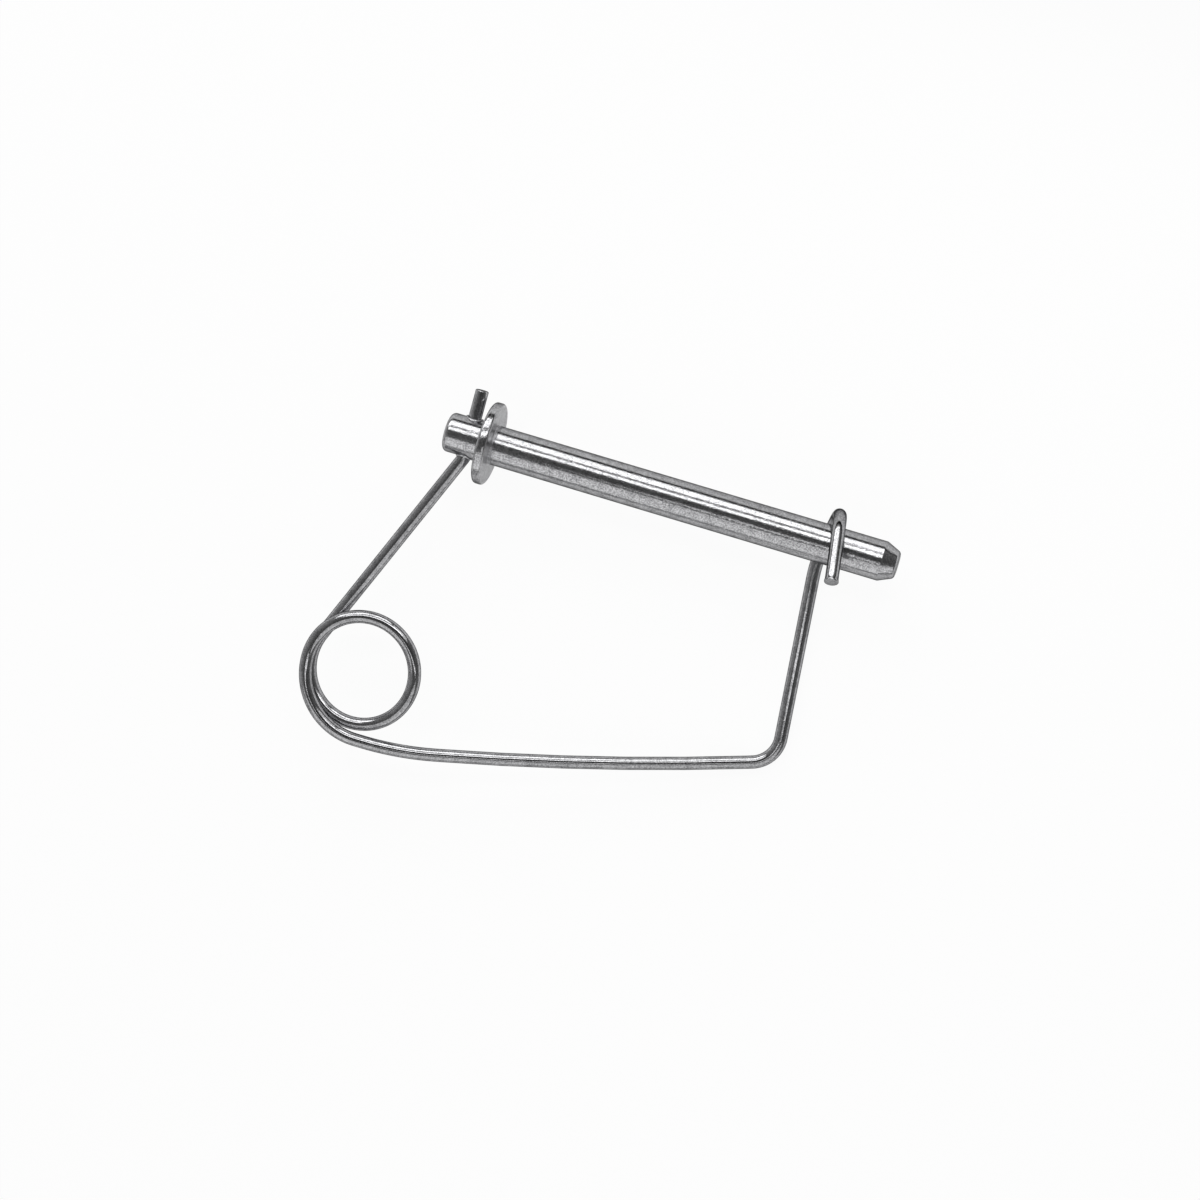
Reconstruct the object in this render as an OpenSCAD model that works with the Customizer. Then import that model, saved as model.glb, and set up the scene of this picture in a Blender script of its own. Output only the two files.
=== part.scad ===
// Hitch pin with a coiled spring-wire latch, in millimetres.
// The origin is on the pin's axis at the seating face of the collar. +X runs towards the tip,
// +Y towards the free stub of the wire, and +Z up from the level ground that the pin lies on.

/* [Pin] */
// Diameter of the bar, for the head and the shank
shank_d = 9.525; // [9:0.025:10]
// Length from the collar's seating face to the end of the tip
pin_l = 99.6; // [90:0.1:120]
// Length of the tip's chamfer along the axis
tip_l = 3.6; // [2:0.1:5]
// Diameter of the tip's flat end
tip_d = 6.3; // [5:0.05:7]
// Radius that rounds the edge of the tip's end
tip_edge_r = 1; // [0.2:0.05:1.2]
// Length of the head behind the collar
head_l = 9.3; // [8.5:0.1:14]
// Radius that rounds the edge of the head's end
head_edge_r = 1.2; // [0.5:0.1:2]

/* [Collar] */
// Diameter of the collar
collar_d = 20; // [18:0.5:22]
// Thickness of the collar
collar_t = 2.5; // [1.8:0.1:3]
// Radius of the collar's two rim edges
collar_edge_r = 0.8; // [0.3:0.05:1]
// Radius of the fillet between the collar and the head
collar_fillet_r = 0.5; // [0.2:0.1:0.8]

/* [Cross hole] */
// Distance from the collar's head side to the axis of the cross hole
hole_from_collar = 3.7; // [3.5:0.1:5]
// Clearance all round the wire in the cross hole
hole_gap = 0.05; // [0.03:0.01:0.1]
// Depth of the chamfer at each mouth of the cross hole
hole_chamfer = 0.8; // [0.5:0.1:1]

/* [Wire] */
// Diameter of the spring wire
wire_d = 3.175; // [2.8:0.025:3.3]
// Bevel round each cut end of the wire
cut_bevel = 0.25; // [0.1:0.05:0.4]
// Length of the straight stub that stands out of the head
stub_l = 6.9; // [4:0.1:12]
// Distance from the straight part of the cross hole to the corner of the first bend
first_bend_lead = 0.75; // [0.6:0.05:1.2]

/* [Coil] */
// Mean radius of the coil
coil_r = 13.2; // [12:0.1:14]
// Distance of the coil's centre behind the axis of the cross hole
coil_back = 10.7; // [9:0.1:13]
// Distance of the coil's centre from the pin's axis
coil_down = 61.5; // [55:0.1:68]
// Angle wound by the coil
coil_turn = 382; // [376:1:388]
// Gap between neighbouring turns of the coil
coil_gap = 0.525; // [0.5:0.025:0.8]
// Distance of the coil's first turn below the pin's axis
coil_drop = 1.5; // [1:0.1:2]
// Angle along the coil at which the moving arm takes over
arm_start = 240; // [180:5:300]

/* [Long leg] */
// Distance from the coil's end to the corner of the bend that leads into the long leg
leg_lead = 16.8; // [16:0.1:19]
// Distance of the leg's first bow ahead of the coil's centre
bow_1_ahead = 13.7; // [12:0.1:19]
// Distance of the leg's first bow below the coil's centre
bow_1_below = 16.5; // [15.5:0.1:18]
// Radius of the leg's first bow
bow_1_r = 83; // [60:1:100]
// Distance of the leg's second bow from the hook, along the pin
bow_2_back = 38.3; // [36:0.1:40]
// Distance of the leg's second bow from the pin's axis
bow_2_down = 68.1; // [67.5:0.1:70]
// Length of wire that stays straight between neighbouring bows
bow_straight = 1.5; // [1:0.5:5]
// Distance of the outer corner from the hook, along the pin
corner_ahead = 3.2; // [0:0.1:5]
// Distance of the outer corner from the pin's axis
corner_down = 54.5; // [50:0.1:60]
// Radius of the outer corner
corner_r = 7.3; // [5:0.1:8]

/* [Hook] */
// Distance from the end of the tip back to the hook
hook_from_tip = 18.4; // [14:0.1:30]
// Gap between the shank and the inside of the hook at its front
hook_front_gap = 1.3; // [1.2:0.02:2]
// Gap between the shank and the inside of the hook at its top
hook_top_gap = 1; // [1:0.05:2]
// Angle that the hook wraps round the shank
hook_wrap = 145; // [135:1:155]
// Slant of the hook towards the tip
hook_slant = 10; // [5:1:15]
// Length of the straight flared tail
tail_l = 12.8; // [9:0.1:16]
// Radius of the soft bend where the leg meets the hook
hook_bend_r = 30; // [20:1:40]

/* [Hidden] */
$fn = 96;

// Steps of the swept wire and of the pin's rounded edges
WIRE_SIDES = 20;
BEND_STEP = 7.5;
EDGE_STEP = 18;
BOW_STRIDE = 7;
OVER = 1;

// Sizes that follow from the driving ones
shank_r = shank_d / 2;
tip_r = tip_d / 2;
collar_r = collar_d / 2;
wire_r = wire_d / 2;
hole_x = -collar_t - hole_from_collar;
hole_r = wire_r + hole_gap;
hole_straight = shank_r - hole_chamfer;
coil_pitch = wire_d + coil_gap;
coil_x = hole_x - coil_back;
low_z = wire_r - collar_r;
hook_x = pin_l - hook_from_tip;
hook_r = (collar_r + shank_r + hook_front_gap) / 2;
hook_y = shank_r + hook_top_gap + wire_r - hook_r;
hook_z = low_z + hook_r;
hook_skew = tan(hook_slant);
hook_lead = 5;

// Vector helpers
function unit(v) = v / norm(v);
function last(list) = list[len(list) - 1];
function turn_angle(a, b, c) = acos(max(-1, min(1, unit(b - a) * unit(c - b))));

// Arc of radius r that rounds the corner b between a and c, as points
function rounded(a, b, c, r, step = BEND_STEP, stride = 1000) =
    let (
        angle = turn_angle(a, b, c),
        reach = r * tan(angle / 2),
        to_a = unit(a - b),
        to_c = unit(c - b),
        centre = b + unit(to_a + to_c) * sqrt(r * r + reach * reach),
        e1 = unit(b + to_a * reach - centre),
        e2 = cross(unit(cross(e1, b + to_c * reach - centre)), e1),
        count = max(ceil(angle / step), ceil(r * angle * PI / 180 / stride), 1)
    )
    [for (i = [0 : count]) centre + r * (cos(angle * i / count) * e1 + sin(angle * i / count) * e2)];

// The same arc, given by the distance from its start to the corner b
function rounded_from(a, b, c, lead, stride = 1000) =
    rounded(a, b, c, lead / tan(turn_angle(a, b, c) / 2), stride = stride);
function lead_of(a, b, c, r) = r * tan(turn_angle(a, b, c) / 2);

// Corner of the pin's profile, which holds [radius, position along the axis, 0]
function edge(a, b, c, r) = rounded(a, b, c, r, EDGE_STEP);

// Leg 1: through the cross hole, then down to the coil's circle, which it touches
stub_end = [hole_x, shank_r + stub_l, 0];
first_corner = [hole_x, -hole_straight - first_bend_lead, 0];
to_first = [first_corner[0] - coil_x, first_corner[1] + coil_down];
coil_start = atan2(to_first[1], to_first[0]) + acos(coil_r / norm(to_first));

// Coil: a helix about Z that rises as it winds
function coil_point(a) = [
    coil_x + coil_r * cos(coil_start + a),
    -coil_down + coil_r * sin(coil_start + a),
    -coil_drop + coil_pitch * a / 360
];
function coil_points(a, b) =
    let (count = ceil((b - a) / BEND_STEP)) [for (i = [0 : count]) coil_point(a + (b - a) * i / count)];
coil_end = coil_point(coil_turn);
coil_exit = unit([-sin(coil_start + coil_turn), cos(coil_start + coil_turn), coil_pitch / (2 * PI * coil_r)]);

// Hook: a skewed arc round the shank, which starts behind it
function hook_point(a) = [
    hook_x + hook_skew * hook_r * a * PI / 180,
    hook_y + hook_r * sin(a),
    hook_z - hook_r * cos(a)
];
hook_steps = ceil(hook_wrap / BEND_STEP);
hook_arc = [for (i = [0 : hook_steps]) hook_point(hook_wrap * i / hook_steps)];
hook_corner = hook_arc[0] - hook_lead * [hook_skew, 1, 0];
tail_end = last(hook_arc) + tail_l * unit([hook_skew, cos(hook_wrap), sin(hook_wrap)]);

// Long leg: out of the coil along its tangent, then down to the ground plane in two bows.
// The second bow takes up what the first one and the outer corner leave of the straights.
leg_corner = coil_end + leg_lead * coil_exit;
bow_1 = [coil_x + bow_1_ahead, -coil_down - bow_1_below, 2 * coil_gap];
bow_2 = [hook_x - bow_2_back, -bow_2_down, low_z / 2];
outer_corner = [hook_x + corner_ahead, -corner_down, low_z];
bow_1_lead = min(
    lead_of(leg_corner, bow_1, bow_2, bow_1_r),
    norm(bow_1 - leg_corner) - leg_lead - bow_straight
);
bow_2_lead = min(
    norm(bow_2 - bow_1) - bow_1_lead,
    norm(outer_corner - bow_2) - lead_of(bow_2, outer_corner, hook_corner, corner_r)
) - bow_straight;

// Route of the wire's centre line, in the two stretches that meet inside the coil
anchor_route = concat(
    [stub_end, stub_end - [0, cut_bevel, 0]],
    rounded_from(stub_end, first_corner, coil_point(0), first_bend_lead),
    coil_points(0, arm_start)
);
arm_route = concat(
    coil_points(arm_start, coil_turn),
    rounded_from(coil_end, leg_corner, bow_1, leg_lead),
    rounded_from(leg_corner, bow_1, bow_2, bow_1_lead, BOW_STRIDE),
    rounded_from(bow_1, bow_2, outer_corner, bow_2_lead, BOW_STRIDE),
    rounded(bow_2, outer_corner, hook_corner, corner_r),
    rounded(outer_corner, hook_corner, hook_arc[0], hook_bend_r),
    hook_arc,
    [tail_end - cut_bevel * unit(tail_end - last(hook_arc)), tail_end]
);

// Points of a route that lie on one another are kept once
function tidy_route(list) = [for (i = [0 : len(list) - 1]) if (i == 0 || norm(list[i] - list[i - 1]) > 0.01) list[i]];
split = len(tidy_route(anchor_route)) - 1;
route = tidy_route(concat(anchor_route, arm_route));
route_end = len(route) - 1;

// Direction of the wire and a side vector that turns as little as possible from ring to ring
tangents = [for (i = [0 : route_end])
    unit((i > 0 ? unit(route[i] - route[i - 1]) : [0, 0, 0]) + (i < route_end ? unit(route[i + 1] - route[i]) : [0, 0, 0]))];
function square_to(v, t) = unit(v - (v * t) * t);
sides = [for (i = 0, s = [0, 0, 1]; i <= route_end; i = i + 1, s = square_to(s, tangents[min(i, route_end)])) s];

function ring(i) =
    let (
        r = i == 0 || i == route_end ? wire_r - cut_bevel : wire_r,
        up = cross(tangents[i], sides[i])
    )
    [for (k = [0 : WIRE_SIDES - 1])
        route[i] + r * (cos(360 * k / WIRE_SIDES) * sides[i] + sin(360 * k / WIRE_SIDES) * up)];

// Round wire swept along the route from point a to point b
module wire(a, b) {
    n = WIRE_SIDES;
    top = (b - a) * n;
    polyhedron(
        points = [for (i = [a : b]) each ring(i)],
        faces = concat(
            [[for (k = [0 : n - 1]) k]],
            [for (i = [0 : b - a - 1], k = [0 : n - 1])
                [i * n + k, (i + 1) * n + k, (i + 1) * n + (k + 1) % n, i * n + (k + 1) % n]],
            [[for (k = [n - 1 : -1 : 0]) top + k]]
        ),
        convexity = 10
    );
}

// Turned profile of the pin: rounded head, formed collar, plain shank and chamfered tip
module pin_blank() {
    head_end = -collar_t - head_l;
    outline = concat(
        [[0, head_end, 0]],
        edge([0, head_end, 0], [shank_r, head_end, 0], [shank_r, -collar_t, 0], head_edge_r),
        edge([shank_r, head_end, 0], [shank_r, -collar_t, 0], [collar_r, -collar_t, 0], collar_fillet_r),
        edge([shank_r, -collar_t, 0], [collar_r, -collar_t, 0], [collar_r, 0, 0], collar_edge_r),
        edge([collar_r, -collar_t, 0], [collar_r, 0, 0], [shank_r, 0, 0], collar_edge_r),
        [[shank_r, 0, 0], [shank_r, pin_l - tip_l, 0]],
        edge([shank_r, pin_l - tip_l, 0], [tip_r, pin_l, 0], [0, pin_l, 0], tip_edge_r),
        [[0, pin_l, 0]]
    );
    rotate([0, 90, 0]) rotate_extrude() polygon([for (p = outline) [p[0], p[1]]]);
}

// One chamfered mouth of the cross hole, on the +Y side
module hole_mouth() {
    depth = hole_chamfer + OVER;
    translate([hole_x, hole_straight, 0]) rotate([-90, 0, 0]) cylinder(h = depth, r1 = hole_r, r2 = hole_r + depth);
}

module pin() {
    color("silver") difference() {
        pin_blank();
        translate([hole_x, 0, 0]) rotate([90, 0, 0]) cylinder(h = shank_d + 2 * OVER, r = hole_r, center = true);
        hole_mouth();
        mirror([0, 1, 0]) hole_mouth();
    }
}

// Fixed end of the wire: stub, leg 1 and the first part of the coil
module spring_wire_anchor_leg() {
    color("gainsboro") wire(0, split);
}

// Moving end of the wire: the rest of the coil, the long leg, the outer corner and the hook
module spring_wire_hook_arm() {
    color("lightgray") wire(split, route_end);
}

pin();
spring_wire_anchor_leg();
spring_wire_hook_arm();
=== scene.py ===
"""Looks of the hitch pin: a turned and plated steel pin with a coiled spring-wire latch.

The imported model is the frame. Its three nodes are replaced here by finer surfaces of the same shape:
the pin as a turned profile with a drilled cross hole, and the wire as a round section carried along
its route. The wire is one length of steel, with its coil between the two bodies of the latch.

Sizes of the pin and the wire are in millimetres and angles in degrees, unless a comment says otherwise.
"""
import math

import bmesh
import bpy
import numpy as np
from mathutils import Matrix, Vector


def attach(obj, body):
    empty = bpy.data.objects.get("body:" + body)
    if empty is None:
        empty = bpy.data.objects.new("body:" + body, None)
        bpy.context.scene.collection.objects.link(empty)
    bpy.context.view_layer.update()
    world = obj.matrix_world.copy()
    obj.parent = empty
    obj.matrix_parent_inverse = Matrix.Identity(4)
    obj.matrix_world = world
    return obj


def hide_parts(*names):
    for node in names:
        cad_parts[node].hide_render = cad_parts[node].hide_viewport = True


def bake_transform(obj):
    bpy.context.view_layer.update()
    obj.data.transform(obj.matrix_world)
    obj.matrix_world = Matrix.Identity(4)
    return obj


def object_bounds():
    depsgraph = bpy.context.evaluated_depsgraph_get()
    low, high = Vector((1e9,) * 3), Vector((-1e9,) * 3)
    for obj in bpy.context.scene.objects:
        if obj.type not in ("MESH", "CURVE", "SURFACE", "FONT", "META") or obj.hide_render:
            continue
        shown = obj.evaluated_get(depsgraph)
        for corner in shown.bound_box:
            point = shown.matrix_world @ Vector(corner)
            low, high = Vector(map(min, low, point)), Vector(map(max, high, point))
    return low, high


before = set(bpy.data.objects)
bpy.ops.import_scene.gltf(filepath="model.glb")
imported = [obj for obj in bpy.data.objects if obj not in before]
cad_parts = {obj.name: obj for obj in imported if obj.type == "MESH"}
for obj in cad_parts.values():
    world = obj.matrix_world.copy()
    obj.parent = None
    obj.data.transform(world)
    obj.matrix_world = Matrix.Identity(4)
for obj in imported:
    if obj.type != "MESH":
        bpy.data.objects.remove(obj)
cad_low, cad_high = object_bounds()

MM = 0.001
PIN_BODY = "pin_with_wire_anchor"
ARM_BODY = "latch_arm"

# Driving sizes of the pin, as in the part's source. X runs from the collar's seating face to the tip
SHANK_R = 9.525 / 2  # 3/8 inch bar
PIN_L = 99.6  # collar's seating face to the tip's end
TIP_L = 3.6  # length of the tip's chamfer
TIP_R = 6.3 / 2  # radius of the tip's end face
HEAD_L = 9.3  # head beyond the collar
COLLAR_R = 10.0
COLLAR_T = 2.5
HOLE_FROM_COLLAR = 3.7  # axis of the cross hole to the collar
HOLE_X = -COLLAR_T - HOLE_FROM_COLLAR
HOLE_GAP = 0.05  # between the wire and the hole's wall
HOLE_CHAMFER = 0.8  # chamfer at the hole's mouths in the part

# Edges of the pin, and the lip that swaging pushes up round the cross hole
TIP_EDGE_R = 1.0
TIP_SHOULDER_R = 0.3
HEAD_EDGE_R = 1.2
COLLAR_EDGE_R = 0.8
COLLAR_FILLET_R = 0.5
SEAT_CORNER_R = 0.08
LIP_W = 0.5
LIP_H = 0.3

# Driving sizes of the wire, as in the part's source. Ahead and behind are along X, below is towards -Y, and
# over and under are along Z
WIRE_R = 3.175 / 2  # 1/8 inch wire
STUB_L = 6.9  # stub beyond the head
FIRST_BEND_LEAD = 0.75  # end of the hole to the corner of the first bend
COIL_R = 13.2  # radius of the coil's centre line
COIL_BACK = 10.7  # coil's axis behind the cross hole
COIL_DOWN = 61.5  # coil's axis below the pin's axis
COIL_TURN = 382.0  # angle that the coil turns through
COIL_GAP = 0.525  # between its turns
COIL_DROP = 1.5  # start of the coil under the pin's axis
LEG_LEAD = 16.8  # end of the coil to the corner of the next bend
BOW_1_AHEAD = 13.7  # first bow's corner ahead of the coil's axis
BOW_1_BELOW = 16.5  # and below it
BOW_1_R = 83.0
BOW_2_BACK = 38.3  # second bow's corner behind the hook
BOW_2_DOWN = 68.1  # and below the pin's axis
BOW_STRAIGHT = 1.5  # short straight left beside a bow
CORNER_AHEAD = 3.2  # rounded corner ahead of the hook
CORNER_DOWN = 54.5  # and below the pin's axis
CORNER_R = 7.3
HOOK_FROM_TIP = 18.4  # start of the hook to the tip's end
HOOK_FRONT_GAP = 1.3  # over the shank
HOOK_TOP_GAP = 1.0  # beyond the shank, towards +Y
HOOK_WRAP = 145.0  # angle that the hook turns through
HOOK_SLANT = 10.0  # lean of the hook towards the tip
HOOK_LEAD = 5.0  # corner of the bend before the hook to its start
HOOK_BEND_R = 30.0  # radius of that bend
TAIL_L = 12.8  # straight tail

# Sheared ends of the wire. The shears spread the tail's end: each pair below is a distance from the end and
# the share of the spread that the wire has there
CUT_BEVEL = 0.25
TAIL_SPREAD = 0.12
TAIL_NECK = ((1.2, 0.0), (0.8, 0.2), (0.5, 0.7))

# The wire's three surfaces meet a short way up leg 1 from the coil, and at the coil's other end
SEAM_UP_LEG = 3.0

# Fineness of the surfaces. Holding rows beside each rounded edge keep the shading of the flats even
PIN_COLUMNS = 256  # round the pin
PIN_ROW_EVERY = 5.0  # along the shank
EDGE_STEP = 6.0  # angle between rows of a rounded edge
HOLD = 0.06  # holding row to the edge of its arc
WIRE_SIDES = 48  # round the wire
WIRE_STRIDE = 1.5  # longest step along a straight of the wire
BEND_STEP = 1.5  # angle between rows of a bend
BEVEL_ROWS = 5  # in the bevel of a sheared end
REPEAT_WITHIN = 1e-3  # distance of points of the route that become one
MERGE_WITHIN = 1e-4  # distance of points of a surface that become one
SHARP_ANGLE = 50  # edges that turn more stay sharp

# The window in the turned grid that holds the mouth of the cross hole
WINDOW_HALF = 2.9  # half its length along X
WINDOW_ROWS = 14  # along X
WINDOW_COLUMNS = 26  # in half its width
WINDOW_ANGLE = WINDOW_COLUMNS * 2 * math.pi / PIN_COLUMNS  # half its width, in radians
PATCH_RINGS = 7  # from the window's edge to the lip
LIP_RINGS = 13  # across the lip

# Patterns of the plating. Its grain is about 0.05 mm across, and the lines from drawing the steel lie about
# 0.05 mm apart and are some 20 mm long. Both are too fine to show, so they are drawn coarser. Soft clouds are
# about 2 mm across. Noise mostly lies between a low and a high value, which become the darkest and lightest
# tone, and a spot's roughness swings round the finish's own
GRAIN_SIZE = 0.3
LINE_SPACING = 0.5
LINE_SQUEEZE = 0.025  # makes the lines 40 times as long as they are wide
LINE_DEPTH = 0.008
CLOUD_SIZE = 2.0
GRAIN_SHARE = 0.6
LINE_SHARE = 0.15
CLOUD_SHARE = 0.25
NOISE_LOW = 0.33
NOISE_HIGH = 0.67
GLOSS_SWING = 0.05

# The collar's seating face, as a stretch along X that fades in and out, and how much more matt it is
SEAT_FADE_IN = (-0.4, -0.1)
SEAT_FADE_OUT = (0.5, 0.6)
SEAT_MATT = 0.2

# Camera: its focal length, the shank's width and the collar's place in pixels of a 1200 pixel frame, and the
# angles by which it is turned, leaned and rolled from looking straight down
FRAME_PX = 1200
FOCAL_PX = 3450.0
SENSOR_MM = 36.0
SHANK_PX = 40.21
COLLAR_PX = (494.37, 444.98)
CAMERA_TURN = 8.5
CAMERA_LEAN = 9.5
CAMERA_ROLL = 16.945

# Soft boxes that face the middle of the part: name, azimuth and elevation, then distance, width and height in
# metres, radiance, and turn about the box's own axis
STUDIO_CENTRE = np.array([35.0, -30.0, 0.0])
SOFT_BOXES = (
    ("key_box", 113, 26.5, 0.8, 0.92, 0.37, 2.2, 0),
    ("strip_box", 100, 57.5, 0.8, 0.8, 0.17, 2.5, 0),
    ("fill_box", -82, 40, 0.8, 1.6, 0.85, 0.64, 0),
    ("side_box", 66, 39, 0.33, 0.14, 0.24, 0.9, 0),
    ("top_bar", -41, 76.4, 0.4, 0.26, 0.04, 1.3, -49),
)

# Strength of the room's light at the horizon and overhead, and what its front and left side add
ROOM_HORIZON = 0.20
ROOM_OVERHEAD = 0.06
ROOM_SIDES = (("Y", 0.10), ("X", 0.20))

# Floor: share of plain white that metal and the camera see in it, and the strength of that white
FLOOR_WHITE_MIRRORED = 0.42
FLOOR_WHITE_SEEN = 0.9
FLOOR_LEVEL_SEEN = 1.03

# Floor and black card in metres
FLOOR_HALF = 6.0  # half its width
FLOOR_BELOW = 0.00002  # clear of the part's lowest point
CARD_Y = 0.16
CARD_LEFT = -0.25
CARD_RIGHT = 0.32
CARD_TOP = 0.022


# ---------------------------------------------------------------- helpers

def unit(v):
    """The vector divided by its length."""
    return v / np.linalg.norm(v)


def linear(hex_colour):
    """sRGB hex colour as linear red, green, blue and alpha."""
    srgb = np.array([int(hex_colour[i:i + 2], 16) for i in (1, 3, 5)]) / 255.0
    low = srgb / 12.92
    high = ((srgb + 0.055) / 1.055) ** 2.4
    return (*np.where(srgb <= 0.04045, low, high), 1.0)


def full_turn(count):
    """Angles in radians of count even columns round a full turn."""
    return np.arange(count) * 2 * math.pi / count


def turn_angle(a, b, c):
    """Angle in radians by which a path through a, b and c turns at b."""
    return math.acos(max(-1.0, min(1.0, float(unit(b - a) @ unit(c - b)))))


def lead_of(a, b, c, radius):
    """Distance from the corner b to the start of the arc that rounds it: r tan(turn / 2)."""
    return radius * math.tan(turn_angle(a, b, c) / 2)


def rounded(a, b, c, radius, step=BEND_STEP):
    """Arc that rounds the corner b between a and c, centre + r (cos t e1 + sin t e2), with t from 0 to the
    angle of the turn."""
    angle = turn_angle(a, b, c)
    reach = lead_of(a, b, c, radius)
    to_a = unit(a - b)
    to_c = unit(c - b)
    centre = b + unit(to_a + to_c) * math.hypot(radius, reach)
    e1 = unit(b + to_a * reach - centre)
    e2 = np.cross(unit(np.cross(e1, b + to_c * reach - centre)), e1)
    count = max(2, math.ceil(math.degrees(angle) / step))
    t = np.linspace(0, angle, count + 1)[:, None]
    return centre + radius * (np.cos(t) * e1 + np.sin(t) * e2)


def rounded_from(a, b, c, lead):
    """The rounding arc, given by the distance from its start to the corner b."""
    return rounded(a, b, c, lead / math.tan(turn_angle(a, b, c) / 2))


def grid_faces(rows, columns):
    """Quads of a grid of rows x columns points, numbered row by row, whose last column joins the first."""
    i, j = np.meshgrid(np.arange(rows - 1), np.arange(columns), indexing="ij")
    k = (j + 1) % columns
    here = i * columns
    beyond = here + columns
    return np.stack([here + j, here + k, beyond + k, beyond + j], axis=-1).reshape(-1, 4)


def steel_piece(name, points, faces, body, nodes, straight=None):
    """Mesh from millimetre points and quads, with doubles merged, faces turned outwards and smooth shading.
    straight holds each point's place on the wire as if it were still straight."""
    mesh = bpy.data.meshes.new(name)
    mesh.from_pydata((points * MM).tolist(), [], faces.tolist())
    if straight is not None:
        layer = mesh.attributes.new("straight_wire", "FLOAT_VECTOR", "POINT")
        layer.data.foreach_set("vector", (straight * MM).ravel())
    work = bmesh.new()
    work.from_mesh(mesh)
    bmesh.ops.remove_doubles(work, verts=work.verts, dist=MERGE_WITHIN * MM)
    bmesh.ops.dissolve_degenerate(work, edges=work.edges, dist=MERGE_WITHIN * MM)
    bmesh.ops.recalc_face_normals(work, faces=work.faces)
    work.to_mesh(mesh)
    work.free()
    mesh.polygons.foreach_set("use_smooth", [True] * len(mesh.polygons))
    mesh.set_sharp_from_angle(angle=math.radians(SHARP_ANGLE))
    piece = bpy.data.objects.new(name, mesh)
    bpy.context.scene.collection.objects.link(piece)
    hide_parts(*nodes)
    if body:
        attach(piece, body)
    return piece


# ---------------------------------------------------------------- pin

def pin_profile():
    """Turned outline of the pin as rows of [position along X, radius]: straight lines whose corners are
    rounded by arcs, with a holding row just before and after each arc."""
    corners = [
        (-COLLAR_T - HEAD_L, 0, 0),
        (-COLLAR_T - HEAD_L, SHANK_R, HEAD_EDGE_R),
        (-COLLAR_T, SHANK_R, COLLAR_FILLET_R),
        (-COLLAR_T, COLLAR_R, COLLAR_EDGE_R),
        (0, COLLAR_R, COLLAR_EDGE_R),
        (0, SHANK_R, SEAT_CORNER_R),
        (PIN_L - TIP_L, SHANK_R, TIP_SHOULDER_R),
        (PIN_L, TIP_R, TIP_EDGE_R),
        (PIN_L, 0, 0),
    ]
    points = np.array([[x, r, 0.0] for x, r, _ in corners])
    rows = [points[:1]]
    for before, corner, after, (_, _, edge_r) in zip(points, points[1:], points[2:], corners[1:]):
        arc = rounded(before, corner, after, edge_r, EDGE_STEP)
        rows += [[arc[0] + HOLD * unit(before - corner)], arc, [arc[-1] + HOLD * unit(after - corner)]]
    rows.append(points[-1:])
    return np.concatenate(rows)[:, :2]


def with_bar_rows(profile):
    """The profile with even rows across the windows on the head, and rows at even distances on the shank.
    Rows at the same place along X, to a millionth of a millimetre, keep their order."""
    window_x = np.linspace(HOLE_X - WINDOW_HALF, HOLE_X + WINDOW_HALF, WINDOW_ROWS + 1)
    shank_x = np.arange(PIN_ROW_EVERY, PIN_L - TIP_L - PIN_ROW_EVERY, PIN_ROW_EVERY)
    added_x = np.concatenate([window_x, shank_x])
    rows = np.concatenate([profile, np.stack([added_x, np.full(len(added_x), SHANK_R)], axis=-1)])
    return rows[np.argsort(rows[:, 0].round(6), kind="stable")]


def hole_patch():
    """The head's surface round one mouth of the cross hole, as rings of points. The outer ring is the edge of
    the window in the turned grid, the rings between lie on the bar, P = (x, R cos a, R sin a), and the inner
    ones form the small lip, bar height + h sin phi over a ring of radius r + w (1 + cos phi) / 2."""
    x_side = np.linspace(-WINDOW_HALF, WINDOW_HALF, WINDOW_ROWS + 1)
    a_side = np.linspace(-WINDOW_ANGLE, WINDOW_ANGLE, 2 * WINDOW_COLUMNS + 1)
    x_end = np.full(len(a_side) - 1, WINDOW_HALF)
    a_end = np.full(len(x_side) - 1, WINDOW_ANGLE)
    edge_x = np.concatenate([x_side[:-1], x_end, x_side[:0:-1], -x_end])
    edge_a = np.concatenate([-a_end, a_side[:-1], a_end, a_side[:0:-1]])
    theta = np.arctan2(SHANK_R * np.sin(edge_a), edge_x)

    hole_r = WIRE_R + HOLE_GAP
    mouth_r = hole_r + LIP_W
    t = np.linspace(1, 0, PATCH_RINGS)[:, None]
    x = t * edge_x + (1 - t) * mouth_r * np.cos(theta)
    a = t * edge_a + (1 - t) * np.arcsin(mouth_r * np.sin(theta) / SHANK_R)
    on_bar = np.stack([HOLE_X + x, SHANK_R * np.cos(a), SHANK_R * np.sin(a)], axis=-1)

    phi = np.linspace(0, math.pi, LIP_RINGS)[1:, None]
    radius = hole_r + LIP_W * (1 + np.cos(phi)) / 2
    height = np.sqrt(SHANK_R ** 2 - (radius * np.sin(theta)) ** 2) + LIP_H * np.sin(phi)
    lip = np.stack([HOLE_X + radius * np.cos(theta), height, radius * np.sin(theta)], axis=-1)
    return np.concatenate([on_bar, lip])


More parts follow.
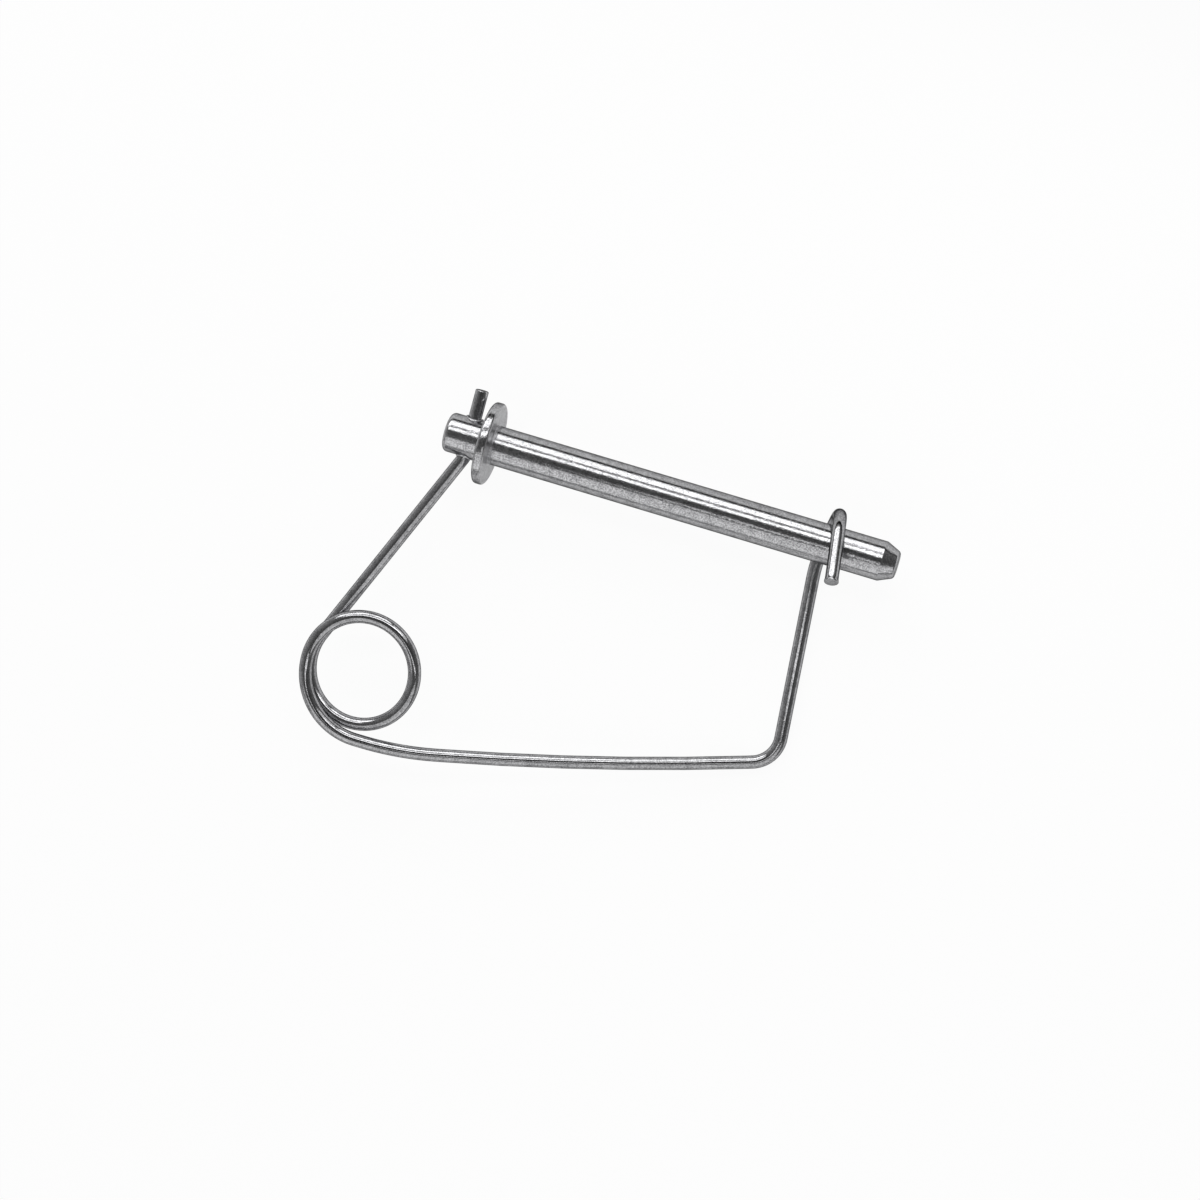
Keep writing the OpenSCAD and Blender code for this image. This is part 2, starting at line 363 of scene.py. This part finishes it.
def build_pin():
    """The turned profile revolved about X, P = (x, r cos a, r sin a), less two windows on the head that the
    patches round the cross hole fill, and the hole's wall between the two patches."""
    profile = with_bar_rows(pin_profile())
    x = profile[:, :1]
    r = profile[:, 1:]
    a = full_turn(PIN_COLUMNS)
    turned = np.stack(np.broadcast_arrays(x, r * np.cos(a), r * np.sin(a)), axis=-1).reshape(-1, 3)
    turned_faces = grid_faces(len(profile), PIN_COLUMNS)
    centre = turned[turned_faces].mean(axis=1)
    in_window = abs(centre[:, 0] - HOLE_X) < WINDOW_HALF
    in_window &= abs(centre[:, 2]) < SHANK_R * math.sin(WINDOW_ANGLE)

    top = hole_patch()
    bottom = top * [1, -1, 1]  # mirrored, so its faces are turned outwards with the rest
    rings, around = top.shape[:2]
    patch_faces = grid_faces(rings, around)
    wall = np.stack([top[-1], bottom[-1]])
    parts = [
        (turned, turned_faces[~in_window]),
        (top.reshape(-1, 3), patch_faces),
        (bottom.reshape(-1, 3), patch_faces),
        (wall.reshape(-1, 3), grid_faces(2, around)),
    ]
    start = np.cumsum([0] + [len(part) for part, _ in parts])
    points = np.concatenate([part for part, _ in parts])
    faces = np.concatenate([part_faces + first for (_, part_faces), first in zip(parts, start)])
    return steel_piece("plated_pin", points, faces, PIN_BODY, ["pin"])


# ---------------------------------------------------------------- wire

def wire_route():
    """Centre line of the wire in stretches: stub and leg 1, coil, long leg to tail. Corners are rounded by
    arcs, the coil is a helix about Z, and the hook is a skewed arc round the shank."""
    ground = WIRE_R - COLLAR_R
    hole_straight = SHANK_R - HOLE_CHAMFER
    coil_x = HOLE_X - COIL_BACK
    stub_end = np.array([HOLE_X, SHANK_R + STUB_L, 0.0])
    first_corner = np.array([HOLE_X, -hole_straight - FIRST_BEND_LEAD, 0.0])
    to_first = first_corner[:2] - [coil_x, -COIL_DOWN]
    coil_start = math.atan2(to_first[1], to_first[0]) + math.acos(COIL_R / np.hypot(*to_first))
    pitch = 2 * WIRE_R + COIL_GAP

    degrees = np.linspace(0, COIL_TURN, math.ceil(COIL_TURN / BEND_STEP) + 1)
    t = coil_start + np.radians(degrees)
    coil = np.stack([coil_x + COIL_R * np.cos(t), -COIL_DOWN + COIL_R * np.sin(t),
                     -COIL_DROP + pitch * degrees / 360], axis=-1)
    coil_exit = unit(np.array([-math.sin(t[-1]), math.cos(t[-1]), pitch / (2 * math.pi * COIL_R)]))

    hook_x = PIN_L - HOOK_FROM_TIP
    hook_r = (COLLAR_R + SHANK_R + HOOK_FRONT_GAP) / 2
    hook_y = SHANK_R + HOOK_TOP_GAP + WIRE_R - hook_r
    skew = math.tan(math.radians(HOOK_SLANT))
    wrap = math.radians(HOOK_WRAP)
    t = np.linspace(0, wrap, math.ceil(HOOK_WRAP / (2 * BEND_STEP)) + 1)
    hook = np.stack([hook_x + skew * hook_r * t, hook_y + hook_r * np.sin(t),
                     ground + hook_r * (1 - np.cos(t))], axis=-1)
    hook_corner = hook[0] - HOOK_LEAD * np.array([skew, 1, 0])
    tail_end = hook[-1] + TAIL_L * unit(np.array([skew, math.cos(wrap), math.sin(wrap)]))

    leg_corner = coil[-1] + LEG_LEAD * coil_exit
    bow_1 = np.array([coil_x + BOW_1_AHEAD, -COIL_DOWN - BOW_1_BELOW, 2 * COIL_GAP])
    bow_2 = np.array([hook_x - BOW_2_BACK, -BOW_2_DOWN, ground / 2])
    corner = np.array([hook_x + CORNER_AHEAD, -CORNER_DOWN, ground])
    # The first bow has its own radius where there is room. The second takes all the length between its
    # neighbours, less a short straight
    bow_1_lead = min(lead_of(leg_corner, bow_1, bow_2, BOW_1_R),
                     np.linalg.norm(bow_1 - leg_corner) - LEG_LEAD - BOW_STRAIGHT)
    room_before = np.linalg.norm(bow_2 - bow_1) - bow_1_lead
    room_after = np.linalg.norm(corner - bow_2) - lead_of(bow_2, corner, hook_corner, CORNER_R)
    bow_2_lead = min(room_before, room_after) - BOW_STRAIGHT

    leg_1 = np.concatenate([stub_end[None],
                            rounded_from(stub_end, first_corner, coil[0], FIRST_BEND_LEAD)])
    arm = np.concatenate([
        rounded_from(coil[-1], leg_corner, bow_1, LEG_LEAD),
        rounded_from(leg_corner, bow_1, bow_2, bow_1_lead),
        rounded_from(bow_1, bow_2, corner, bow_2_lead),
        rounded(bow_2, corner, hook_corner, CORNER_R),
        rounded(corner, hook_corner, hook[0], HOOK_BEND_R),
        hook,
        tail_end[None],
    ])
    return leg_1, coil, arm


def fine(line):
    """The line with repeated points dropped and long straights divided into even short steps."""
    step = np.linalg.norm(np.diff(line, axis=0), axis=1)
    line = line[np.concatenate([[True], step > REPEAT_WITHIN])]
    step = np.linalg.norm(np.diff(line, axis=0), axis=1)
    counts = np.maximum(1, np.ceil(step / WIRE_STRIDE).astype(int))
    pieces = [a + (b - a) * np.linspace(0, 1, n, endpoint=False)[:, None]
              for a, b, n in zip(line[:-1], line[1:], counts)]
    return np.concatenate(pieces + [line[-1:]])


def wire_frames(route):
    """Direction of the wire at each point of its route, and two cross vectors that turn as little as can be:
    each side vector is the one before it, less its part along the wire."""
    step = np.diff(route, axis=0)
    step /= np.linalg.norm(step, axis=1)[:, None]
    tangent = np.concatenate([step[:1], step[:-1] + step[1:], step[-1:]])
    tangent /= np.linalg.norm(tangent, axis=1)[:, None]
    side = np.array([0.0, 0.0, 1.0])
    sides = []
    for direction in tangent:
        side = unit(side - (side @ direction) * direction)
        sides.append(side)
    sides = np.array(sides)
    return tangent, sides, np.cross(tangent, sides)


def sheared_rows(spread=0.0):
    """Rows of [distance from the end, radius] from the middle of a sheared end to the wire's side: the flat
    face with a holding row, then the bevel, distance b (1 - sin t) and radius r - b (1 - cos t), t from a
    quarter turn to 0."""
    t = np.linspace(math.pi / 2, 0, BEVEL_ROWS)
    bevel = np.stack([CUT_BEVEL * (1 - np.sin(t)), WIRE_R + spread - CUT_BEVEL * (1 - np.cos(t))], axis=-1)
    face = [[0, 0], [0, WIRE_R + spread - CUT_BEVEL - HOLD]]
    return np.concatenate([face, bevel])


def wire_section(route, first, last, first_end, last_end):
    """Round section carried along the route from one of its points to another, P = centre + r (cos a side +
    sin a up), as points and faces. The ends are rows of [shift along the wire, radius]. The third result is
    each point's place on the wire as if it were still straight, (length along, r cos a, r sin a)."""
    tangent, side, up = wire_frames(route)
    length = np.concatenate([[0], np.cumsum(np.linalg.norm(np.diff(route, axis=0), axis=1))])
    place = np.concatenate([np.full(len(first_end), first), np.arange(first + 1, last),
                            np.full(len(last_end), last)])
    plain = np.tile([0, WIRE_R], (last - first - 1, 1))
    shift, radius = np.concatenate([first_end, plain, last_end]).T[:, :, None]
    a = full_turn(WIRE_SIDES)
    r_cos = radius * np.cos(a)
    r_sin = radius * np.sin(a)
    centre = route[place] + tangent[place] * shift
    points = centre[:, None] + r_cos[..., None] * side[place][:, None] + r_sin[..., None] * up[place][:, None]
    straight = np.stack(np.broadcast_arrays(length[place][:, None] + shift, r_cos, r_sin), axis=-1)
    return points.reshape(-1, 3), grid_faces(len(place), WIRE_SIDES), straight.reshape(-1, 3)


def build_wire():
    """Three surfaces that meet without a gap: stub and leg 1 on the pin's body, the coil between the bodies
    on neither of them, and the long leg with its hook and tail on the arm's body."""
    leg_1, coil, arm = wire_route()
    seam = coil[0] + SEAM_UP_LEG * unit(leg_1[-1] - coil[0])
    leg_line = fine(np.concatenate([leg_1, seam[None]]))
    coil_line = fine(np.concatenate([seam[None], coil]))
    arm_line = fine(np.concatenate([coil[-1:], arm]))
    route = np.concatenate([leg_line, coil_line[1:], arm_line[1:]])
    leg_last = len(leg_line) - 1
    coil_last = leg_last + len(coil_line) - 1
    tail_last = len(route) - 1

    stub_cut = sheared_rows()
    flat = np.array([[0, 0], [0, WIRE_R]])
    neck = [[-distance, WIRE_R + share * TAIL_SPREAD] for distance, share in TAIL_NECK]
    tail_cut = np.concatenate([neck, sheared_rows(TAIL_SPREAD)[::-1] * [-1, 1]])

    points, faces, straight = wire_section(route, 0, leg_last, stub_cut, flat[::-1])
    leg = steel_piece("wire_stub_and_leg", points, faces, PIN_BODY,
                      ["spring_wire_anchor_leg"], straight)
    points, faces, straight = wire_section(route, leg_last, coil_last, flat, flat[::-1])
    spring = steel_piece("wire_coil", points, faces, None,
                         ["spring_wire_anchor_leg", "spring_wire_hook_arm"], straight)
    points, faces, straight = wire_section(route, coil_last, tail_last, flat, tail_cut)
    hook_arm = steel_piece("wire_long_leg_and_hook", points, faces, ARM_BODY,
                           ["spring_wire_hook_arm"], straight)

    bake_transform(spring)
    return leg, spring, hook_arm


# ---------------------------------------------------------------- finishes

def add(tree, kind, inputs=None, **settings):
    """Adds a node with its settings. An input is a value, or a socket of another node to link from."""
    node = tree.nodes.new(kind)
    for key, value in settings.items():
        setattr(node, key, value)
    for key, value in (inputs or {}).items():
        if isinstance(value, bpy.types.NodeSocket):
            tree.links.new(value, node.inputs[key])
        else:
            node.inputs[key].default_value = value
    return node


def plated_steel(name, on_wire, dark, light, glancing, roughness, grain_depth):
    """Cold-drawn steel, bright zinc plated. The plating's grain speckles the grey bands, drawing leaves faint
    lines along the bar, and soft clouds mottle the darker parts. The light's edges stay crisp."""
    material = bpy.data.materials.new(name)
    material.use_nodes = True
    tree = material.node_tree
    shader = tree.nodes["Principled BSDF"]
    shader.inputs["Metallic"].default_value = 1.0
    # At a glancing angle the grain of the plating shades itself, so round edges end in a thin dark line
    shader.inputs["Specular Tint"].default_value = linear(glancing)
    if on_wire:
        place = add(tree, "ShaderNodeAttribute", attribute_name="straight_wire").outputs["Vector"]
    else:
        place = add(tree, "ShaderNodeTexCoord").outputs["Object"]

    grain = add(tree, "ShaderNodeTexNoise", {"Vector": place, "Scale": 1 / (GRAIN_SIZE * MM), "Detail": 1.0,
                                             "Roughness": 0.6}).outputs["Fac"]
    drawn = add(tree, "ShaderNodeMapping", {"Vector": place, "Scale": (LINE_SQUEEZE, 1.0, 1.0)})
    lines = add(tree, "ShaderNodeTexNoise", {"Vector": drawn.outputs["Vector"],
                                             "Scale": 1 / (LINE_SPACING * MM), "Detail": 2.0,
                                             "Roughness": 0.6}).outputs["Fac"]
    clouds = add(tree, "ShaderNodeTexNoise", {"Vector": place, "Scale": 1 / (CLOUD_SIZE * MM), "Detail": 2.0,
                                              "Roughness": 0.55}).outputs["Fac"]

    # The three patterns, each spread from 0 to its share, add up to one tone from dark to light
    tone = 0.0
    for pattern, share in ((grain, GRAIN_SHARE), (lines, LINE_SHARE), (clouds, CLOUD_SHARE)):
        spread = add(tree, "ShaderNodeMapRange", {"Value": pattern, "From Min": NOISE_LOW,
                                                  "From Max": NOISE_HIGH, "To Min": 0.0,
                                                  "To Max": share}).outputs["Result"]
        tone = add(tree, "ShaderNodeMath", {0: spread, 1: tone}, operation="ADD").outputs[0]
    colour = add(tree, "ShaderNodeMixRGB", {"Fac": tone, "Color1": linear(dark), "Color2": linear(light)})
    tree.links.new(colour.outputs["Color"], shader.inputs["Base Color"])

    # Darker spots are rougher
    gloss = add(tree, "ShaderNodeMapRange", {"Value": tone, "To Min": roughness + GLOSS_SWING,
                                             "To Max": roughness - GLOSS_SWING}).outputs["Result"]
    if not on_wire:
        # The die that upsets the collar leaves its seating face matt and clean, so that it shows a pale grey
        x = add(tree, "ShaderNodeSeparateXYZ", {"Vector": place}).outputs["X"]
        rising = add(tree, "ShaderNodeMapRange", {"Value": x, "From Min": SEAT_FADE_IN[0] * MM,
                                                  "From Max": SEAT_FADE_IN[1] * MM})
        falling = add(tree, "ShaderNodeMapRange", {"Value": x, "From Min": SEAT_FADE_OUT[0] * MM,
                                                   "From Max": SEAT_FADE_OUT[1] * MM,
                                                   "To Min": 1.0, "To Max": 0.0})
        seat = add(tree, "ShaderNodeMath", {0: rising.outputs["Result"], 1: falling.outputs["Result"]},
                   operation="MINIMUM").outputs[0]
        gloss = add(tree, "ShaderNodeMath", {0: seat, 1: SEAT_MATT, 2: gloss},
                    operation="MULTIPLY_ADD").outputs[0]
        edge = add(tree, "ShaderNodeMixRGB", {"Fac": seat, "Color1": linear(glancing),
                                              "Color2": linear("#FFFFFF")})
        tree.links.new(edge.outputs["Color"], shader.inputs["Specular Tint"])
    tree.links.new(gloss, shader.inputs["Roughness"])

    grain_bump = add(tree, "ShaderNodeBump", {"Height": grain, "Distance": grain_depth * MM, "Strength": 1.0})
    line_bump = add(tree, "ShaderNodeBump", {"Height": lines, "Distance": LINE_DEPTH * MM, "Strength": 1.0,
                                             "Normal": grain_bump.outputs["Normal"]})
    tree.links.new(line_bump.outputs["Normal"], shader.inputs["Normal"])
    return material


# ---------------------------------------------------------------- studio

def build_camera():
    """Camera looking down on the pin from slightly beyond the tip and the stub."""
    turn = math.radians(CAMERA_TURN)
    lean = math.radians(CAMERA_LEAN)
    roll = math.radians(CAMERA_ROLL)
    towards = np.array([math.sin(turn), math.cos(turn) * math.sin(lean), math.cos(turn) * math.cos(lean)])
    forward = -towards
    along = unit(np.array([1.0, 0, 0]) - forward[0] * forward)
    across = np.cross(forward, along)
    right = math.cos(roll) * along - math.sin(roll) * across
    down = math.sin(roll) * along + math.cos(roll) * across
    distance = FOCAL_PX * 2 * SHANK_R / SHANK_PX
    offset = [(p - FRAME_PX / 2) / FOCAL_PX * distance for p in COLLAR_PX]
    place = -(offset[0] * right + offset[1] * down + distance * forward)
    data = bpy.data.cameras.new("camera")
    data.sensor_width = SENSOR_MM
    data.lens = FOCAL_PX / FRAME_PX * SENSOR_MM
    camera = bpy.data.objects.new("camera", data)
    columns = np.stack([right, -down, -forward], axis=1)
    matrix = Matrix(columns.tolist()).to_4x4()
    matrix.translation = place * MM
    camera.matrix_world = matrix
    bpy.context.scene.collection.objects.link(camera)
    bpy.context.scene.camera = camera


def soft_box(name, azimuth, elevation, distance, width, height, radiance, turn):
    """Rectangular soft light that faces the part. Its power gives the radiance: pi x area x radiance."""
    data = bpy.data.lights.new(name, "AREA")
    data.shape = "RECTANGLE"
    data.size = width
    data.size_y = height
    data.energy = math.pi * width * height * radiance
    lamp = bpy.data.objects.new(name, data)
    az = math.radians(azimuth)
    el = math.radians(elevation)
    back = np.array([math.cos(az) * math.cos(el), math.sin(az) * math.cos(el), math.sin(el)])
    right = unit(np.cross([0, 0, 1.0], back))
    up = np.cross(back, right)
    matrix = Matrix(np.stack([right, up, back], axis=1).tolist()).to_4x4()
    matrix = matrix @ Matrix.Rotation(math.radians(turn), 4, "Z")
    matrix.translation = STUDIO_CENTRE * MM + back * distance
    lamp.matrix_world = matrix
    lamp.visible_camera = False
    bpy.context.scene.collection.objects.link(lamp)


def flat_card(name, corners, material):
    """Plain quad of the studio, with its corners in metres."""
    mesh = bpy.data.meshes.new(name)
    mesh.from_pydata(corners, [], [(0, 1, 2, 3)])
    mesh.materials.append(material)
    card = bpy.data.objects.new(name, mesh)
    bpy.context.scene.collection.objects.link(card)
    return card


def light_room():
    """Soft light from all round, dimmer overhead and brighter in front and on the left, and the soft boxes.
    The camera sees plain white."""
    scene = bpy.context.scene
    scene.view_settings.view_transform = "Standard"
    world = bpy.data.worlds.new("studio")
    scene.world = world
    world.use_nodes = True
    tree = world.node_tree
    background = tree.nodes["Background"]
    way = add(tree, "ShaderNodeSeparateXYZ", {"Vector": add(tree, "ShaderNodeTexCoord").outputs["Generated"]})
    level = add(tree, "ShaderNodeMapRange", {"Value": way.outputs["Z"], "From Min": 0.0, "From Max": 1.0,
                                             "To Min": ROOM_HORIZON,
                                             "To Max": ROOM_OVERHEAD}).outputs["Result"]
    for axis, gain in ROOM_SIDES:
        side = add(tree, "ShaderNodeMapRange", {"Value": way.outputs[axis], "From Min": -1.0, "From Max": 0.0,
                                                "To Min": gain, "To Max": 0.0}).outputs["Result"]
        level = add(tree, "ShaderNodeMath", {0: level, 1: side}, operation="ADD").outputs[0]
    seen = add(tree, "ShaderNodeLightPath").outputs["Is Camera Ray"]
    level = add(tree, "ShaderNodeMath", {0: level, 1: seen}, operation="MAXIMUM").outputs[0]
    tree.links.new(level, background.inputs["Strength"])
    background.inputs["Color"].default_value = (1, 1, 1, 1)
    for box in SOFT_BOXES:
        soft_box(*box)


def matt_white_floor():
    """Matt white paint under a share of plain white, for the camera and for what metal mirrors. The paint
    that shows through takes the part's shadow."""
    material = bpy.data.materials.new("matt_white_floor")
    material.use_nodes = True
    tree = material.node_tree
    shader = tree.nodes["Principled BSDF"]
    shader.inputs["Base Color"].default_value = linear("#F2F2F2")
    shader.inputs["Roughness"].default_value = 0.9
    shader.inputs["Specular IOR Level"].default_value = 0.0
    path = add(tree, "ShaderNodeLightPath")
    mirrored = add(tree, "ShaderNodeMath", {0: path.outputs["Is Glossy Ray"],
                                            1: path.outputs["Is Transmission Ray"]}, operation="MAXIMUM")
    mirrored = add(tree, "ShaderNodeMath", {0: mirrored.outputs[0], 1: FLOOR_WHITE_MIRRORED},
                   operation="MULTIPLY")
    direct = add(tree, "ShaderNodeMath", {0: path.outputs["Is Camera Ray"], 1: FLOOR_WHITE_SEEN},
                 operation="MULTIPLY")
    share = add(tree, "ShaderNodeMath", {0: mirrored.outputs[0], 1: direct.outputs[0]}, operation="MAXIMUM")
    level = add(tree, "ShaderNodeMapRange", {"Value": path.outputs["Is Camera Ray"], "To Min": 1.0,
                                             "To Max": FLOOR_LEVEL_SEEN})
    white = add(tree, "ShaderNodeEmission", {"Color": (1, 1, 1, 1), "Strength": level.outputs["Result"]})
    mixed = add(tree, "ShaderNodeMixShader", {0: share.outputs[0], 1: shader.outputs[0], 2: white.outputs[0]})
    tree.links.new(mixed.outputs[0], tree.nodes["Material Output"].inputs["Surface"])
    return material


def matt_black_card():
    """Matt black card without gloss."""
    material = bpy.data.materials.new("matt_black_card")
    material.use_nodes = True
    shader = material.node_tree.nodes["Principled BSDF"]
    shader.inputs["Base Color"].default_value = linear("#101010")
    shader.inputs["Specular IOR Level"].default_value = 0.0
    return material


def build_studio():
    """Lights, a pale floor just under the part, and a low black card behind it that gives the bright bands
    their dark edge."""
    light_room()
    z = cad_low[2] - FLOOR_BELOW
    floor = flat_card("floor", [(-FLOOR_HALF, -FLOOR_HALF, z), (FLOOR_HALF, -FLOOR_HALF, z),
                                (FLOOR_HALF, FLOOR_HALF, z), (-FLOOR_HALF, FLOOR_HALF, z)],
                      matt_white_floor())
    card = flat_card("black_card", [(CARD_LEFT, CARD_Y, z), (CARD_RIGHT, CARD_Y, z),
                                    (CARD_RIGHT, CARD_Y, CARD_TOP), (CARD_LEFT, CARD_Y, CARD_TOP)],
                     matt_black_card())
    card.visible_camera = False


pin = build_pin()
wire_pieces = build_wire()
pin.data.materials.append(plated_steel("zinc_plated_bar", False, dark="#808082", light="#E2E2E4",
                                       glancing="#808080", roughness=0.13, grain_depth=0.025))
wire_finish = plated_steel("zinc_plated_spring_wire", True, dark="#747476", light="#D6D6D8",
                           glancing="#585858", roughness=0.10, grain_depth=0.008)
for piece in wire_pieces:
    piece.data.materials.append(wire_finish)
build_camera()
build_studio()
